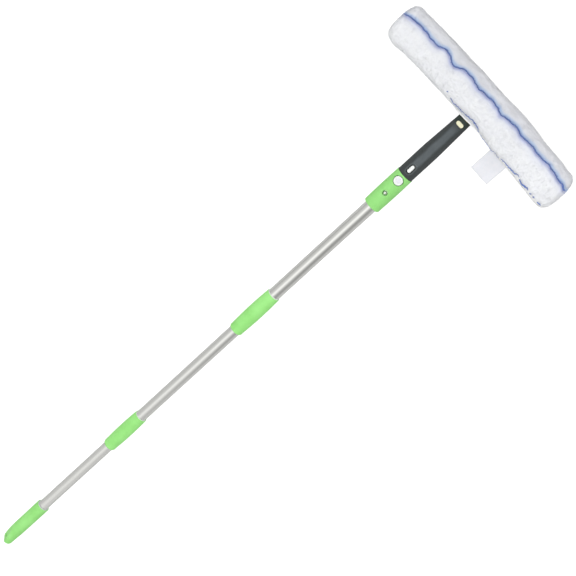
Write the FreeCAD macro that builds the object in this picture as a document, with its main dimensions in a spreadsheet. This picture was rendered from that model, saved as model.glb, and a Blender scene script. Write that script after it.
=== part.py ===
import FreeCAD, Part
import math
import os
import Sketcher

# Telescopic pole with a T-bar window washer, lying on a flat surface.
# X runs along the pole from the end grip to the head, Y along the washer's bar, Z up.
# The origin is at the middle of the part's footprint, on the surface. Millimetres.

DIMENSIONS = {
    # end grip
    "grip_length": 113.0,
    "grip_radius": 12.4,
    "grip_mouth_radius": 12.6,
    "grip_tip_flat_radius": 8.8,
    "grip_nose_radius": 11.3,
    "grip_nose_length": 3.0,
    "grip_nose_bow": 0.8,
    "grip_shoulder": 40.0,
    "grip_slant_tip": 5.0,
    "grip_roll": 32.0,
    "grip_rim_round": 0.6,
    "hang_hole_radius": 3.2,
    "hang_hole_from_tip": 10.0,
    "grip_solid_tip": 31.0,
    "liner_wall": 0.9,
    "liner_flange_radius": 11.1,
    "liner_flange": 1.3,
    # tubes
    "lower_tube_radius": 9.6,
    "middle_tube_radius": 10.3,
    "upper_tube_radius": 11.0,
    "tube_wall": 0.4,
    "lower_tube_shown": 192.0,
    "middle_tube_shown": 246.0,
    "upper_tube_shown": 225.0,
    "tube_overlap": 78.0,
    # collars
    "lower_collar_length": 87.0,
    "lower_collar_foot_radius": 12.0,
    "lower_collar_top_radius": 11.9,
    "lower_collar_bow": 1.1,
    "upper_collar_length": 93.0,
    "upper_collar_foot_radius": 12.5,
    "upper_collar_top_radius": 12.4,
    "upper_collar_bow": 1.2,
    "collar_foot_round": 4.0,
    "collar_foot_step": 0.9,
    "collar_foot_bow": 0.6,
    "collar_lip": 3.0,
    "collar_ring_length": 6.0,
    "collar_ring_proud": 1.0,
    "collar_ring_wall": 0.45,
    "bush_length": 9.0,
    "slide_clearance": 0.15,
    "body_clearance": 0.3,
    "seat_clearance": 0.05,
    # eccentric locks
    "plug_depth": 18.0,
    "plug_wall": 3.0,
    "plug_flange": 2.0,
    "stud_radius": 5.5,
    "stud_length": 14.0,
    "stud_offset": 0.25,
    "stud_play": 0.35,
    "lock_ring_play": 0.3,
    "lock_ring_slit": 1.6,
    "lock_ring_groove": 0.6,
    "screw_radius": 1.5,
    "screw_depth": 9.0,
    "screw_head_radius": 7.2,
    "screw_head": 1.6,
    "screw_head_edge": 0.5,
    "screw_recess_length": 4.4,
    "screw_recess_width": 0.9,
    "screw_recess": 0.9,
    # head socket
    "socket_length": 73.0,
    "socket_foot_radius": 15.0,
    "socket_top_radius": 14.9,
    "socket_bow": 0.4,
    "socket_foot_round": 2.2,
    "socket_foot_step": 0.8,
    "socket_foot_bow": 0.4,
    "tube_in_socket": 40.0,
    "socket_web": 3.5,
    "spigot_radius": 10.4,
    "spigot_length": 38.0,
    "spigot_bore": 8.2,
    "spigot_chamfer": 1.0,
    "handle_fit": 0.1,
    # lock lever
    "button_radius": 7.4,
    "button_gap": 1.05,
    "button_from_joint": 11.4,
    "button_proud": 0.9,
    "button_edge": 0.8,
    "catch_length": 15.0,
    "catch_width": 6.3,
    "catch_gap": 0.9,
    "catch_from_joint": 15.0,
    "catch_sunk": 0.5,
    "pin_from_joint": 26.0,
    "pin_radius": 1.1,
    "pin_height": 7.0,
    "pin_half_length": 11.5,
    "pin_clearance": 0.05,
    "lever_hub_radius": 2.6,
    "lever_width": 7.0,
    "lever_beam": 3.0,
    "lever_beam_floor": 4.0,
    "button_hole_floor": 2.2,
    "lever_spring_width": 5.0,
    "lever_spring_leaf": 0.5,
    "lever_spring_arm": 4.0,
    # snap button and its V spring
    "snap_hole_radius": 4.4,
    "snap_from_socket_foot": 33.0,
    "snap_button_radius": 2.6,
    "snap_button_flange": 3.6,
    "snap_button_flange_height": 0.7,
    "snap_seat_height": 8.9,
    "snap_dome_round": 2.0,
    "snap_foot_depth": 10.1,
    "snap_tube_clearance": 0.4,
    "snap_button_sunk": 0.4,
    "snap_leaf": 0.5,
    "snap_leaf_width": 6.0,
    "snap_arm_length": 24.0,
    "snap_bend_radius": 1.6,
    # handle
    "handle_length": 125.0,
    "handle_foot_radius": 14.35,
    "handle_straight": 53.0,
    "handle_top_radius": 11.7,
    "handle_edge": 0.6,
    "handle_bore_spare": 1.5,
    "facet_start": 23.0,
    "facet_end": 112.0,
    "facet_depth": 1.3,
    "facet_lead": 6.0,
    "facet_lead_bow": 0.28,
    "facet_bow": 0.4,
    "slot_recess_border": 1.6,
    "slot_recess_depth": 1.0,
    "window_from_top": 9.5,
    "window_length": 13.2,
    "window_width": 7.2,
    "window_gap": 0.3,
    "window_sunk": 1.5,
    # T-bar
    "bar_length": 345.0,
    "bar_width": 42.0,
    "bar_depth": 20.0,
    "bar_round": 6.0,
    "bar_web": 5.0,
    "bar_rim": 7.0,
    "bar_cells": 12.0,
    "stem_radius": 8.0,
    "stem_in_handle": 28.0,
    "stem_shoulder_radius": 9.6,
    # sleeve
    "sleeve_length": 360.0,
    "sleeve_width": 66.0,
    "sleeve_depth": 47.0,
    "sleeve_end_round": 13.0,
    "sleeve_corner": 21.0,
    "sleeve_flat": 0.5,
    "sleeve_gap": 0.5,
    "slit_length": 66.0,
    "slit_height": 24.0,
    "hem_wall": 1.6,
    "tape_thickness": 1.6,
    "tape_width": 9.0,
    "tape_inset": 4.0,
    # care label
    "label_width": 36.0,
    "label_length": 44.0,
    "label_thickness": 0.5,
    "label_from_axis": 77.0,
    "label_root": 2.0,
    "label_slope_share": 0.2,
    "label_bow": 1.5,
    # cuts run past the faces by this much
    "overrun": 2.0,
}


class Size:
    """A length with its number and the sheet expression that it comes from."""

    def __init__(self, value, text):
        self.value = value
        self.text = text

    def join(self, other, sign, value):
        return Size(value, "(%s %s %s)" % (self.text, sign, other.text))

    def __add__(self, other):
        other = sized(other)
        return self.join(other, "+", self.value + other.value)

    def __sub__(self, other):
        other = sized(other)
        return self.join(other, "-", self.value - other.value)

    def __mul__(self, other):
        other = sized(other)
        return self.join(other, "*", self.value * other.value)

    def __truediv__(self, other):
        other = sized(other)
        return self.join(other, "/", self.value / other.value)

    def __radd__(self, other):
        return sized(other) + self

    def __rsub__(self, other):
        return sized(other) - self

    def __rmul__(self, other):
        return sized(other) * self

    def __neg__(self):
        return sized(0) - self


def sized(number):
    return number if isinstance(number, Size) else Size(float(number), repr(float(number)))


def square_root(size):
    return Size(math.sqrt(size.value), "sqrt(%s)" % size.text)


doc = FreeCAD.newDocument("window_washer")
sheet = doc.addObject("Spreadsheet::Sheet", "sizes")
for row, (name, number) in enumerate(DIMENSIONS.items(), start=1):
    sheet.set("A%d" % row, name)
    sheet.set("B%d" % row, str(number))
    sheet.setAlias("B%d" % row, name)
doc.recompute()


class Named:
    """Every driving dimension by its name, such as d.grip_length."""


d = Named()
for name, number in DIMENSIONS.items():
    setattr(d, name, Size(number, "sizes." + name))
ZERO = sized(0)

# Two places closer than this are the same place
NEAR = 1e-4

# The bulge of a quarter circle as a share of its radius
QUARTER_BOW_SHARE = 1 - math.sqrt(0.5)

# How deep the lower tube sits in the grip
tube_in_grip = d.grip_length - d.grip_solid_tip

# Stations along the pole, from the grip's tip
lower_collar_at = d.grip_length + d.lower_tube_shown
upper_collar_at = lower_collar_at + d.lower_collar_length + d.middle_tube_shown
socket_at = upper_collar_at + d.upper_collar_length + d.upper_tube_shown
handle_at = socket_at + d.socket_length
head_at = handle_at + d.handle_length
sleeve_at = head_at + d.sleeve_gap
bar_at = sleeve_at + d.sleeve_width / 2
overall = sleeve_at + d.sleeve_width
axis_height = d.sleeve_depth / 2 - d.sleeve_flat

parts = {}


def bind(thing, name, size):
    """Set a property to a size's number and tie it to the sheet."""
    thing.setExpression(name, size.text)


def new_part(label, at, height=ZERO, side=ZERO, kind="PartDesign::Body"):
    """A sub-part whose own zero lies on the pole's axis, at a station along it."""
    piece = doc.addObject(kind, label + "_part")
    piece.Label = label
    bind(piece, "Placement.Base.x", at - overall / 2)
    bind(piece, "Placement.Base.y", side)
    bind(piece, "Placement.Base.z", axis_height + height)
    parts[label] = piece
    return piece


def origin_plane(body, role):
    return [plane for plane in body.Origin.OriginFeatures if plane.Role == role][0]


def new_sketch(body, role, shift=ZERO):
    sketch = body.newObject("Sketcher::SketchObject", body.Label + "_sketch")
    sketch.AttachmentSupport = (origin_plane(body, role), [""])
    sketch.MapMode = "FlatFace"
    bind(sketch, "AttachmentOffset.Base.z", shift)
    return sketch


def pin_point(sketch, edge, end, point):
    """Hold one point of the sketch at two sizes from its origin."""
    for kind, size in (("DistanceX", point[0]), ("DistanceY", point[1])):
        index = sketch.addConstraint(Sketcher.Constraint(kind, -1, 1, edge, end, size.value))
        bind(sketch, "Constraints[%d]" % index, size)


def pin_center(sketch, edge, corner, after):
    """Hold an arc's centre, by the coordinate that its chord leaves free, so that it bulges by its bow."""
    run = after[0] - corner[0]
    rise = after[1] - corner[1]
    chord = square_root(run * run + rise * rise)
    bow = corner[2]
    shift = (chord * chord / 4 - bow * bow) / (bow * 2) / chord
    if abs(run.value) > abs(rise.value):
        kind, size = "DistanceY", (corner[1] + after[1]) / 2 + run * shift
    else:
        kind, size = "DistanceX", (corner[0] + after[0]) / 2 - rise * shift
    index = sketch.addConstraint(Sketcher.Constraint(kind, -1, 1, edge, 3, size.value))
    bind(sketch, "Constraints[%d]" % index, size)


def outline(sketch, points):
    """A closed outline. A point is (x, y), or (x, y, bow) where the edge to the next one bulges."""
    corners = [[sized(value) for value in point] for point in points]
    bows = {}
    for edge, corner in enumerate(corners):
        after = corners[(edge + 1) % len(corners)]
        start = FreeCAD.Vector(corner[0].value, corner[1].value, 0)
        end = FreeCAD.Vector(after[0].value, after[1].value, 0)
        if len(corner) == 3:
            run = end - start
            left = FreeCAD.Vector(-run.y, run.x, 0).normalize()
            middle = (start + end) * 0.5 - left * corner[2].value
            sketch.addGeometry(Part.Arc(start, middle, end))
            bows[edge] = sketch.getPoint(edge, 1).distanceToPoint(start) > NEAR
        else:
            sketch.addGeometry(Part.LineSegment(start, end))
    count = len(corners)
    for edge, corner in enumerate(corners):
        following = (edge + 1) % count
        leave = 1 if bows.get(edge) else 2
        enter = 2 if bows.get(following) else 1
        sketch.addConstraint(Sketcher.Constraint("Coincident", edge, leave, following, enter))
        pin_point(sketch, edge, 2 if bows.get(edge) else 1, corner)
        if len(corner) == 3:
            pin_center(sketch, edge, corner, corners[following])


def circle(sketch, x, y, radius):
    x, y = sized(x), sized(y)
    center = FreeCAD.Vector(x.value, y.value, 0)
    edge = sketch.addGeometry(Part.Circle(center, FreeCAD.Vector(0, 0, 1), radius.value))
    index = sketch.addConstraint(Sketcher.Constraint("Radius", edge, radius.value))
    bind(sketch, "Constraints[%d]" % index, radius)
    pin_point(sketch, edge, 3, (x, y))


def slot(sketch, x, y, length, width):
    """A stadium along the sketch's first axis, with half-round ends."""
    x, y = sized(x), sized(y)
    half = (length - width) / 2
    outline(sketch, [(x - half, y - width / 2), (x + half, y - width / 2, width / 2),
                     (x + half, y + width / 2), (x - half, y + width / 2, width / 2)])


def cross_slot(sketch, x, y, length, width):
    """The same stadium along the sketch's second axis."""
    x, y = sized(x), sized(y)
    half = (length - width) / 2
    outline(sketch, [(x + width / 2, y - half), (x + width / 2, y + half, width / 2),
                     (x - width / 2, y + half), (x - width / 2, y - half, width / 2)])


def rectangle(sketch, low_x, low_y, high_x, high_y):
    outline(sketch, [(low_x, low_y), (high_x, low_y), (high_x, high_y), (low_x, high_y)])


def turn(body, points, axis="H_Axis"):
    """Add the solid of an outline of (x, radius) points turned about the pole's axis."""
    sketch = new_sketch(body, "XZ_Plane")
    outline(sketch, points)
    solid = body.newObject("PartDesign::Revolution", body.Label + "_turned")
    solid.Profile = sketch
    solid.ReferenceAxis = (sketch, [axis])
    solid.Angle = 360
    doc.recompute()
    return solid


def pad(body, sketch, length, both_ways=False, reverse=False):
    solid = body.newObject("PartDesign::Pad", body.Label + "_pad")
    solid.Profile = sketch
    bind(solid, "Length", length)
    solid.SideType = "Symmetric" if both_ways else "One side"
    solid.Reversed = reverse
    doc.recompute()
    return solid


def pocket(body, sketch, depth, both_ways=False, upwards=False):
    """Cut a sketch's outline out of the body, and make sure that the cut took something away."""
    before = body.Shape.Volume
    cut = body.newObject("PartDesign::Pocket", body.Label + "_pocket")
    cut.Profile = sketch
    bind(cut, "Length", depth)
    cut.SideType = "Symmetric" if both_ways else "One side"
    cut.Reversed = upwards
    doc.recompute()
    if body.Shape.Volume >= before:
        raise RuntimeError("%s: a pocket cut nothing" % body.Label)
    return cut


def round_edges(body, radius, wanted, kind="PartDesign::Fillet"):
    """Fillet or chamfer the edges of the body's tip that a test picks."""
    base = body.Tip
    names = ["Edge%d" % number for number, edge in enumerate(base.Shape.Edges, start=1) if wanted(edge)]
    if not names:
        raise RuntimeError("%s: no edge to round" % body.Label)
    rounding = body.newObject(kind, body.Label + "_edges")
    rounding.Base = (base, names)
    bind(rounding, "Radius" if kind.endswith("Fillet") else "Size", radius)
    doc.recompute()
    return rounding


def ring_at(x, radius):
    """A test for a circular edge about the pole's axis at a given place."""
    def wanted(edge):
        curve = edge.Curve
        return (curve.TypeId == "Part::GeomCircle" and abs(curve.Center.x - x.value) < NEAR
                and abs(curve.Radius - radius.value) < NEAR and abs(curve.Axis.x) > 0.99)
    return wanted


def level_ring_at(z, radius):
    """A test for a circular edge that faces up at a given height."""
    def wanted(edge):
        curve = edge.Curve
        return (curve.TypeId == "Part::GeomCircle" and abs(curve.Center.z - z.value) < NEAR
                and abs(curve.Radius - radius.value) < NEAR and abs(curve.Axis.z) > 0.99)
    return wanted


def tube(label, at, length, radius):
    """A steel tube from a station, open at both ends."""
    body = new_part(label, at)
    turn(body, [(0, radius - d.tube_wall), (length, radius - d.tube_wall), (length, radius), (0, radius)])
    return body


def make_end_grip():
    """Closed rubbery grip: rounded nose, one slanted side, and a hole to hang it by."""
    bore = d.lower_tube_radius + d.liner_wall + d.seat_clearance * 2
    floor = d.grip_length - tube_in_grip - d.seat_clearance
    body = new_part("end_grip", ZERO)
    roll = FreeCAD.Rotation(FreeCAD.Vector(1, 0, 0), d.grip_roll.value)
    body.Placement = FreeCAD.Placement(body.Placement.Base, roll)
    bind(body, "Placement.Rotation.Angle", d.grip_roll)
    turn(body, [(0, 0), (floor, 0), (floor, bore), (d.grip_length, bore),
                (d.grip_length, d.grip_mouth_radius), (d.grip_shoulder, d.grip_radius),
                (d.grip_nose_length, d.grip_nose_radius, d.grip_nose_bow), (0, d.grip_tip_flat_radius)])
    round_edges(body, d.grip_rim_round, ring_at(d.grip_length, d.grip_mouth_radius))
    slant = new_sketch(body, "XY_Plane")
    past = d.grip_radius + d.overrun
    outline(slant, [(-d.overrun, d.grip_slant_tip), (0, d.grip_slant_tip), (d.grip_shoulder, d.grip_radius),
                    (d.grip_shoulder, past), (-d.overrun, past)])
    pocket(body, slant, past * 2, both_ways=True)
    hole = new_sketch(body, "XZ_Plane")
    circle(hole, d.hang_hole_from_tip, ZERO, d.hang_hole_radius)
    pocket(body, hole, past * 2, both_ways=True)


def make_grip_liner():
    """Thin lining between the grip and the tube, with a flange that covers the grip's rim."""
    inner = d.lower_tube_radius + d.seat_clearance
    outer = inner + d.liner_wall
    end = tube_in_grip + d.liner_flange
    body = new_part("grip_liner", d.grip_length - tube_in_grip)
    turn(body, [(0, inner), (end, inner), (end, d.liner_flange_radius),
                (tube_in_grip, d.liner_flange_radius), (tube_in_grip, outer), (0, outer)])


def make_collar(name, at, length, foot, top, bow, inner, outer):
    """Sleeve on the outer tube's end, with a guide bush behind its lip and a ring in its mouth."""
    bore = outer + d.seat_clearance
    ring_outer = bore + d.collar_ring_wall
    recess = length - d.collar_ring_length + d.collar_ring_proud
    recess_radius = ring_outer + d.seat_clearance
    body = new_part(name + "_collar", at)
    lip_bore = inner + d.body_clearance
    turn(body, [(0, lip_bore), (d.collar_lip, lip_bore), (d.collar_lip, bore), (recess, bore),
                (recess, recess_radius), (length, recess_radius), (length, top, bow),
                (d.collar_foot_round, foot, d.collar_foot_bow), (0, foot - d.collar_foot_step)])

    ring = new_part(name + "_collar_ring", at + recess)
    turn(ring, [(0, bore), (d.collar_ring_length, bore), (d.collar_ring_length, ring_outer), (0, ring_outer)])

    bush = new_part(name + "_bush", at + d.collar_lip)
    bush_bore = inner + d.slide_clearance
    turn(bush, [(0, bush_bore), (d.bush_length, bush_bore), (d.bush_length, outer), (0, outer)])


def make_lock(tube_name, ring_name, at, inner, outer):
    """Plug with an eccentric stud in the inner tube's end, its split ring and the screw that keeps it."""
    plug_radius = inner - d.tube_wall - d.seat_clearance
    plug_bore = plug_radius - d.plug_wall
    plug = new_part(tube_name + "_plug", at)
    turn(plug, [(-d.plug_depth, plug_bore), (-d.plug_wall, plug_bore), (-d.plug_wall, 0), (d.plug_flange, 0),
                (d.plug_flange, inner), (0, inner), (0, plug_radius), (-d.plug_depth, plug_radius)])
    stud = new_sketch(plug, "YZ_Plane", d.plug_flange)
    circle(stud, ZERO, d.stud_offset, d.stud_radius)
    pad(plug, stud, d.stud_length)
    stud_end = d.plug_flange + d.stud_length
    hole = new_sketch(plug, "YZ_Plane", stud_end)
    circle(hole, ZERO, d.stud_offset, d.screw_radius)
    pocket(plug, hole, d.screw_depth)

    ring_length = d.stud_length - d.body_clearance * 2
    ring_radius = outer - d.tube_wall - d.lock_ring_play
    ring = new_part(ring_name + "_lock_ring", at + d.plug_flange + d.body_clearance)
    land = ring_length / 7
    groove = ring_radius - d.lock_ring_groove
    turn(ring, [(0, 0), (ring_length, 0), (ring_length, ring_radius), (land * 5, ring_radius),
                (land * 5, groove), (land * 4, groove), (land * 4, ring_radius), (land * 3, ring_radius),
                (land * 3, groove), (land * 2, groove), (land * 2, ring_radius), (0, ring_radius)])
    bore = new_sketch(ring, "YZ_Plane", ring_length)
    circle(bore, ZERO, d.stud_offset, d.stud_radius + d.stud_play)
    pocket(ring, bore, ring_length + d.overrun)
    slit = new_sketch(ring, "XY_Plane")
    rectangle(slit, -d.overrun, -d.lock_ring_slit / 2, ring_length + d.overrun, d.lock_ring_slit / 2)
    pocket(ring, slit, ring_radius + d.overrun)

    screw = new_part(tube_name + "_plug_screw", at + stud_end, height=d.stud_offset)
    shank = d.screw_radius - d.seat_clearance
    shank_end = d.seat_clearance - d.screw_depth
    turn(screw, [(shank_end, 0), (d.screw_head, 0), (d.screw_head, d.screw_head_radius),
                 (0, d.screw_head_radius), (0, shank), (shank_end, shank)])
    rim = ring_at(d.screw_head, d.screw_head_radius)
    round_edges(screw, d.screw_head_edge, rim, kind="PartDesign::Chamfer")
    recess = new_sketch(screw, "YZ_Plane", d.screw_head)
    arm = d.screw_recess_length / 2
    half = d.screw_recess_width / 2
    outline(recess, [(-arm, -half), (-half, -half), (-half, -arm), (half, -arm), (half, -half), (arm, -half),
                     (arm, half), (half, half), (half, arm), (-half, arm), (-half, half), (-arm, half)])
    pocket(screw, recess, d.screw_recess)


def make_tubes():
    start = d.grip_length - tube_in_grip
    tube("lower_tube", start, lower_collar_at + d.tube_overlap - start, d.lower_tube_radius)
    mouth = d.collar_lip + d.bush_length
    start = lower_collar_at + mouth
    tube("middle_tube", start, upper_collar_at + d.tube_overlap - start, d.middle_tube_radius)
    start = upper_collar_at + mouth
    body = tube("upper_tube", start, socket_at + d.tube_in_socket - start, d.upper_tube_radius)
    hole = new_sketch(body, "XY_Plane")
    hole_at = socket_at + d.snap_from_socket_foot - start
    circle(hole, hole_at, ZERO, d.snap_button_radius + d.snap_tube_clearance)
    pocket(body, hole, d.upper_tube_radius + d.overrun, upwards=True)


def make_head_socket():
    """Socket for the upper tube, with a hollow spigot that holds the lock lever and enters the handle."""
    length = d.socket_length
    bore = d.upper_tube_radius + d.seat_clearance
    cavity = d.tube_in_socket + d.socket_web
    end = length + d.spigot_length
    body = new_part("head_socket", socket_at)
    turn(body, [(0, bore), (d.tube_in_socket, bore), (d.tube_in_socket, 0), (cavity, 0),
                (cavity, d.spigot_bore), (end, d.spigot_bore), (end, d.spigot_radius),
                (length, d.spigot_radius), (length, d.socket_top_radius, d.socket_bow),
                (d.socket_foot_round, d.socket_foot_radius, d.socket_foot_bow),
                (0, d.socket_foot_radius - d.socket_foot_step)])
    round_edges(body, d.spigot_chamfer, ring_at(end, d.spigot_radius), kind="PartDesign::Chamfer")
    outside = d.socket_top_radius + d.socket_bow

    button = new_sketch(body, "XY_Plane", d.button_hole_floor)
    circle(button, length - d.button_from_joint, ZERO, d.button_radius + d.button_gap)
    pocket(body, button, outside, upwards=True)

    hub = new_sketch(body, "XY_Plane")
    pin = length - d.pin_from_joint
    half = d.lever_width / 2 + d.body_clearance
    reach = d.lever_hub_radius + d.body_clearance
    rectangle(hub, pin - reach, -half, pin + reach, half)
    pocket(body, hub, d.pin_height + reach, upwards=True)

    catch = new_sketch(body, "XY_Plane")
    gap = d.catch_gap * 2
    slot(catch, length + d.catch_from_joint, ZERO, d.catch_length + gap, d.catch_width + gap)
    pocket(body, catch, outside, upwards=True)

    bore_sketch = new_sketch(body, "XZ_Plane", d.pin_half_length)
    circle(bore_sketch, pin, d.pin_height, d.pin_radius)
    pocket(body, bore_sketch, d.pin_half_length + outside)

    snap = new_sketch(body, "XY_Plane")
    circle(snap, d.snap_from_socket_foot, ZERO, d.snap_hole_radius)
    pocket(body, snap, outside, upwards=True)


def make_lock_lever():
    """One moulding: hub on the pin, beam, round button, and the oval catch that locks the handle."""
    body = new_part("lock_lever", handle_at - d.pin_from_joint)
    catch_at = d.pin_from_joint + d.catch_from_joint
    hub = new_sketch(body, "XZ_Plane")
    circle(hub, ZERO, d.pin_height, d.lever_hub_radius)
    pad(body, hub, d.lever_width, both_ways=True)
    beam = new_sketch(body, "XZ_Plane")
    beam_top = d.lever_beam_floor + d.lever_beam
    rectangle(beam, ZERO, d.lever_beam_floor, catch_at + d.catch_length / 2, beam_top)
    pad(body, beam, d.lever_width, both_ways=True)
    catch = new_sketch(body, "XY_Plane", d.lever_beam_floor)
    slot(catch, catch_at, ZERO, d.catch_length, d.catch_width)
    pad(body, catch, d.handle_foot_radius - d.catch_sunk - d.lever_beam_floor)
    button = new_sketch(body, "XY_Plane", d.lever_beam_floor)
    circle(button, d.pin_from_joint - d.button_from_joint, ZERO, d.button_radius)
    top = d.socket_top_radius + d.button_proud
    pad(body, button, top - d.lever_beam_floor)
    round_edges(body, d.button_edge, level_ring_at(top, d.button_radius))
    bore = new_sketch(body, "XZ_Plane")
    circle(bore, ZERO, d.pin_height, d.pin_radius + d.pin_clearance)
    pocket(body, bore, d.lever_width + d.overrun, both_ways=True)

    pin = new_part("lever_pin", handle_at - d.pin_from_joint, height=d.pin_height)
    shaft = new_sketch(pin, "XZ_Plane")
    circle(shaft, ZERO, ZERO, d.pin_radius)
    pad(pin, shaft, d.pin_half_length * 2, both_ways=True)

    spring = new_part("lever_spring", handle_at - d.button_from_joint)
    half = d.lever_spring_width / 2
    low = d.seat_clearance - square_root(d.spigot_bore * d.spigot_bore - half * half)
    high = d.lever_beam_floor - d.seat_clearance
    leaf = d.lever_spring_leaf
    outer = (high - low) / 2
    arm = d.lever_spring_arm
    side_view = new_sketch(spring, "XZ_Plane")
    outline(side_view, [(arm, low), (arm, low + leaf), (0, low + leaf, leaf - outer), (0, high - leaf),
                        (arm, high - leaf), (arm, high), (0, high, outer), (0, low)])
    pad(spring, side_view, d.lever_spring_width, both_ways=True)


def make_snap_button():
    """Domed button through the tube and the socket, pushed out by a V spring inside the tube."""
    at = socket_at + d.snap_from_socket_foot
    body = new_part("snap_button", at)
    seat = d.snap_seat_height
    top = d.socket_foot_radius + d.socket_bow - d.snap_button_sunk
    flange_top = seat + d.snap_button_flange_height
    dome = d.snap_dome_round
    turn(body, [(0, seat), (d.snap_button_flange, seat), (d.snap_button_flange, flange_top),
                (d.snap_button_radius, flange_top),
                (d.snap_button_radius, top - dome, dome * QUARTER_BOW_SHARE),
                (d.snap_button_radius - dome, top), (0, top)], axis="V_Axis")

    clip = new_part("snap_clip", at)
    leaf = d.snap_leaf
    inner = d.snap_bend_radius
    outer = inner + leaf
    bend = -d.snap_arm_length
    pad_half = d.snap_button_flange
    high = seat - d.seat_clearance
    low = -d.snap_foot_depth
    side_view = new_sketch(clip, "XZ_Plane")
    outline(side_view, [(bend, -outer), (-pad_half - leaf, low), (pad_half, low), (pad_half, low + leaf),
                        (-pad_half, low + leaf), (bend, -inner, -inner), (bend, inner),
                        (-pad_half, high - leaf), (pad_half, high - leaf), (pad_half, high),
                        (-pad_half - leaf, high), (bend, outer, outer)])
    pad(clip, side_view, d.snap_leaf_width, both_ways=True)


def make_handle():
    """Tapered handle: bore for the spigot, bore for the stem, thumb facet, catch slot and window."""
    length = d.handle_length
    bore = d.spigot_radius + d.handle_fit
    bore_depth = d.spigot_length + d.handle_bore_spare
    stem_floor = length - d.stem_in_handle - d.body_clearance
    stem_bore = d.stem_radius + d.handle_fit
    body = new_part("handle", handle_at)
    turn(body, [(0, bore), (bore_depth, bore), (bore_depth, 0), (stem_floor, 0), (stem_floor, stem_bore),
                (length, stem_bore), (length, d.handle_top_radius),
                (d.handle_straight, d.handle_foot_radius), (0, d.handle_foot_radius)])
    round_edges(body, d.handle_edge, lambda edge: ring_at(ZERO, d.handle_foot_radius)(edge)
                or ring_at(length, d.handle_top_radius)(edge))
    facet = new_sketch(body, "XZ_Plane")
    run = length - d.handle_straight
    slope = (d.handle_foot_radius - d.handle_top_radius) / run
    low_end = d.handle_foot_radius - slope * (d.facet_end - d.handle_straight)
    above = d.handle_foot_radius + d.overrun
    outline(facet, [(d.facet_start, d.handle_foot_radius, d.facet_lead_bow),
                    (d.facet_start + d.facet_lead, d.handle_foot_radius - d.facet_depth, d.facet_bow),
                    (d.facet_end, low_end), (d.facet_end, above), (d.facet_start, above)])
    pocket(body, facet, d.handle_foot_radius * 2, both_ways=True)
    recess = new_sketch(body, "XY_Plane", d.handle_foot_radius - d.slot_recess_depth)
    border = (d.catch_gap + d.slot_recess_border) * 2
    slot(recess, d.catch_from_joint, ZERO, d.catch_length + border, d.catch_width + border)
    pocket(body, recess, d.overrun, upwards=True)
    opening = new_sketch(body, "XY_Plane")
    gap = d.catch_gap * 2
    slot(opening, d.catch_from_joint, ZERO, d.catch_length + gap, d.catch_width + gap)
    pocket(body, opening, d.handle_foot_radius, upwards=True)
    window = new_sketch(body, "XY_Plane")
    cross_slot(window, length - d.window_from_top, ZERO, d.window_length, d.window_width)
    pocket(body, window, d.handle_foot_radius, upwards=True)


def make_t_bar():
    """Open-cell bar that carries the sleeve, with a stem whose latch pad shows in the handle's window."""
    body = new_part("t_bar", bar_at)
    section = new_sketch(body, "XZ_Plane")
    rectangle(section, -d.bar_width / 2, -d.bar_depth / 2, d.bar_width / 2, d.bar_depth / 2)
    pad(body, section, d.bar_length, both_ways=True)
    round_edges(body, d.bar_round, lambda edge: edge.Length > d.bar_length.value - NEAR)

    cells = d.bar_cells
    pitch = (d.bar_length - d.bar_web) / cells
    first = -d.bar_length / 2 + d.bar_web
    cell = new_sketch(body, "XY_Plane", d.bar_depth / 2)
    inside = d.bar_width / 2 - d.bar_rim
    rectangle(cell, -inside, first, inside, first + pitch - d.bar_web)
    cut = pocket(body, cell, d.bar_depth + d.overrun)
    row = body.newObject("PartDesign::LinearPattern", "t_bar_cells")
    row.Originals = [cut]
    row.Direction = (origin_plane(body, "Y_Axis"), [""])
    bind(row, "Length", pitch * (cells - 1))
    bind(row, "Occurrences", cells)
    body.Tip = row
    doc.recompute()

    shoulder = new_sketch(body, "YZ_Plane", head_at + d.body_clearance - bar_at)
    circle(shoulder, ZERO, ZERO, d.stem_shoulder_radius)
    pad(body, shoulder, bar_at - d.bar_width / 2 + d.bar_rim / 2 - head_at - d.body_clearance)
    stem = new_sketch(body, "YZ_Plane", head_at - d.stem_in_handle - bar_at)
    circle(stem, ZERO, ZERO, d.stem_radius)
    pad(body, stem, d.stem_in_handle + d.stem_shoulder_radius)
    latch = new_sketch(body, "XY_Plane")
    gap = d.window_gap * 2
    cross_slot(latch, head_at - d.window_from_top - bar_at, ZERO, d.window_length - gap, d.window_width - gap)
    pad(body, latch, d.handle_top_radius - d.window_sunk)


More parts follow.
